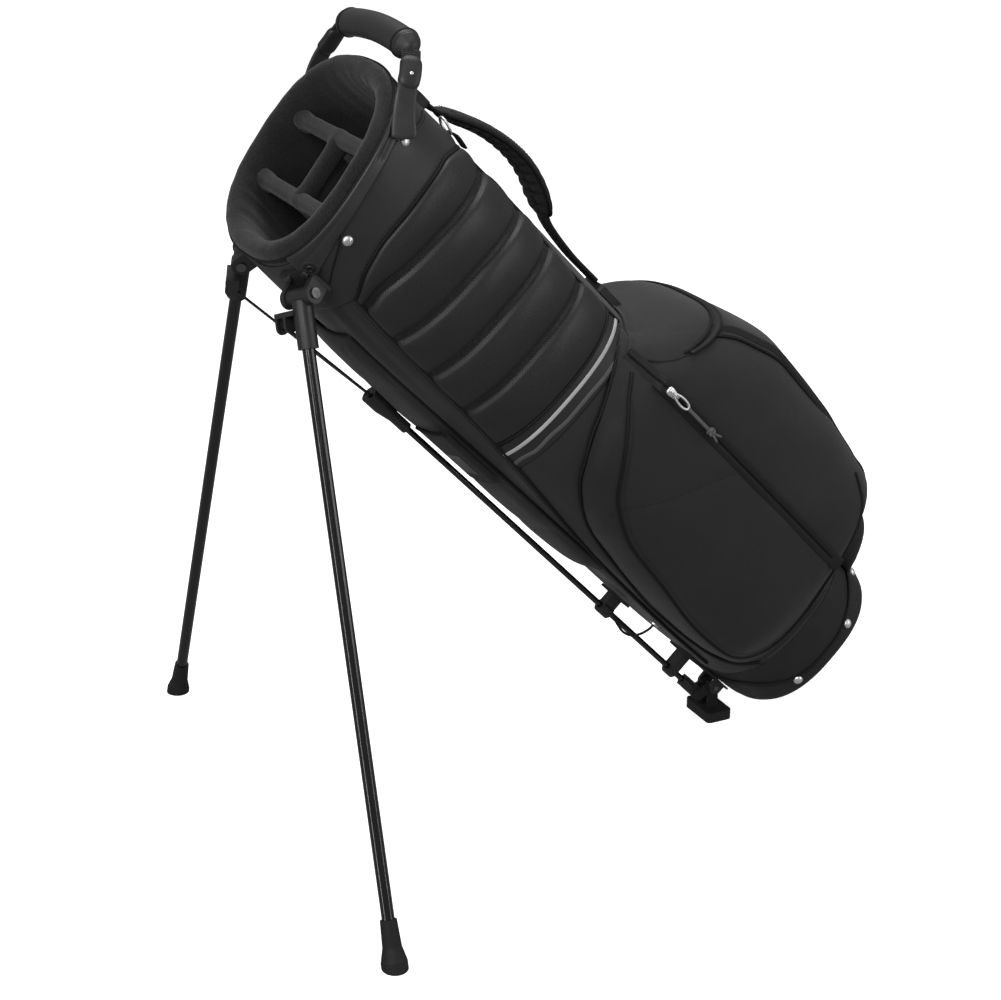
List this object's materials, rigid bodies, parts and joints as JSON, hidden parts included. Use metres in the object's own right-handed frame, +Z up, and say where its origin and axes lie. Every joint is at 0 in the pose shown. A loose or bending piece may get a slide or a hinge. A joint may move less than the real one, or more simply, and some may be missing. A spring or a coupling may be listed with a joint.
{
  "type": "golf stand bag",
  "caption": "Slim golf stand bag leaning on two swing-out legs and a foot block, with divided padded mouth, grab handle, zipped side pockets and shoulder strap.",
  "frame": {"origin": "on the ground, under the middle of the standing bag's box", "axes": "+Z up; -X towards the mouth and the legs, +X towards the base; Y across the bag, and the bag is mirrored about Y = 0"},
  "size_m": [0.7224, 0.6774, 0.8343],
  "materials": {
    "ballistic_fabric": "matt coated fabric",
    "quilted_leatherette": "satin leatherette",
    "padding_mesh": "matt mesh",
    "moulded_plastic": "fine moulded grain",
    "tube_metal": "gloss black",
    "rubber_foot": "matt",
    "spring_steel": "black oxide",
    "silver_metal": "polished",
    "steel_pin": "brushed",
    "grey_band": "reflective tape",
    "webbing": "woven webbing",
    "zip_tape": "coated zip",
    "cord_grey": "braided cord",
    "glass_fibre": "pultruded rod"
  },
  "bodies": {
    "bag": {"side_wall_left": "ballistic_fabric", "side_wall_right": "ballistic_fabric", "spine_wall": "ballistic_fabric", "underside_wall": "ballistic_fabric", "base_boot": "moulded_plastic", "top_collar": "moulded_plastic", "rim_padding": "padding_mesh", "divider_frame": "padding_mesh", "divider_cross_sheets": "padding_mesh", "divider_middle_sheet": "padding_mesh", "stays": "glass_fibre", "quilted_panel_left": "quilted_leatherette", "quilted_panel_right": "quilted_leatherette", "stripe_bright": "grey_band", "stripe_dark": "grey_band", "hip_pad": "ballistic_fabric", "valuables_sleeve": "webbing", "sleeve_label": "grey_band", "side_pocket_left": "ballistic_fabric", "side_pocket_right": "ballistic_fabric", "ball_pocket": "ballistic_fabric", "top_pocket": "ballistic_fabric", "zip_left": "zip_tape", "zip_right": "zip_tape", "top_pocket_zip": "zip_tape", "dome_rivets": "silver_metal", "handle_arm_left": "moulded_plastic", "handle_arm_right": "moulded_plastic", "handle_core": "webbing", "handle_grip": "quilted_leatherette", "leg_bracket_left": "moulded_plastic", "leg_bracket_right": "moulded_plastic", "leg_pins": "steel_pin", "bracket_screws": "steel_pin", "rod_guide": "moulded_plastic", "keeper_clip": "moulded_plastic", "keeper_cord": "cord_grey", "keeper_eyelet": "silver_metal", "foot_bracket": "moulded_plastic", "foot_pin": "steel_pin", "shoulder_strap": "webbing", "strap_hardware": "moulded_plastic"},
    "leg_left": {"leg_socket_left": "moulded_plastic", "leg_tube_left": "tube_metal", "leg_foot_left": "rubber_foot"},
    "leg_right": {"leg_socket_right": "moulded_plastic", "leg_tube_right": "tube_metal", "leg_foot_right": "rubber_foot"},
    "wire_left": {"spring_wire_left": "spring_steel"},
    "wire_right": {"spring_wire_right": "spring_steel"},
    "rod": {"y_connector": "moulded_plastic", "push_rod": "tube_metal", "rod_end": "moulded_plastic"},
    "foot": {"foot_block": "rubber_foot"},
    "slider_left": {"zip_slider_left": "silver_metal"},
    "slider_right": {"zip_slider_right": "silver_metal"},
    "pull_left": {"zip_pull_left": "silver_metal", "pull_cord_left": "cord_grey"},
    "pull_right": {"zip_pull_right": "silver_metal", "pull_cord_right": "cord_grey"}
  },
  "joints": [
    {"name": "leg_left_fold", "type": "hinge", "parent": "bag", "child": "leg_left", "pos_m": [-0.3276, 0.082, 0.58982], "axis": [-0.3633, -0.866, -0.3435], "range_deg": [0, 49.5]},
    {"name": "leg_right_fold", "type": "hinge", "parent": "bag", "child": "leg_right", "pos_m": [-0.3276, -0.082, 0.58982], "axis": [0.3633, -0.866, 0.3435], "range_deg": [0, 49.5]},
    {"name": "rod_slide", "type": "slide", "parent": "bag", "child": "rod", "axis": [0.6871, 0, -0.7266], "range_m": [0, 0.01431]},
    {"name": "wire_left_swing", "type": "hinge", "parent": "rod", "child": "wire_left", "pos_m": [-0.22537, 0.004, 0.45115], "axis": [0.5767, 0.8136, 0.0738], "range_deg": [0, 5.7]},
    {"name": "wire_right_swing", "type": "hinge", "parent": "rod", "child": "wire_right", "pos_m": [-0.22537, -0.004, 0.45115], "axis": [-0.5767, 0.8136, -0.0738], "range_deg": [0, 5.7]},
    {"name": "foot_turn", "type": "hinge", "parent": "bag", "child": "foot", "pos_m": [0.19096, 0, 0.03709], "axis": [0, -1, 0], "range_deg": [0, 43.41]},
    {"name": "zip_left_slide", "type": "slide", "parent": "bag", "child": "slider_left", "axis": [0.6871, 0, -0.7266], "range_m": [0, 0.23]},
    {"name": "zip_left_pull", "type": "hinge", "parent": "slider_left", "child": "pull_left", "pos_m": [0.04847, 0.1412, 0.45411], "axis": [0.7266, 0, 0.6871], "range_deg": [0, 150]},
    {"name": "zip_right_slide", "type": "slide", "parent": "bag", "child": "slider_right", "axis": [0.6871, 0, -0.7266], "range_m": [0, 0.23]},
    {"name": "zip_right_pull", "type": "hinge", "parent": "slider_right", "child": "pull_right", "pos_m": [0.04847, -0.1412, 0.45411], "axis": [-0.7266, 0, -0.6871], "range_deg": [0, 150]}
  ],
  "couplings": [
    {"joint": "leg_right_fold", "follows": "leg_left_fold", "ratio": 1},
    {"joint": "rod_slide", "follows": "leg_left_fold", "m_per_rad": 0.016557},
    {"joint": "wire_left_swing", "follows": "leg_left_fold", "ratio": 0.11427},
    {"joint": "wire_right_swing", "follows": "leg_left_fold", "ratio": 0.11427},
    {"joint": "foot_turn", "follows": "leg_left_fold", "ratio": 0.87677}
  ]
}
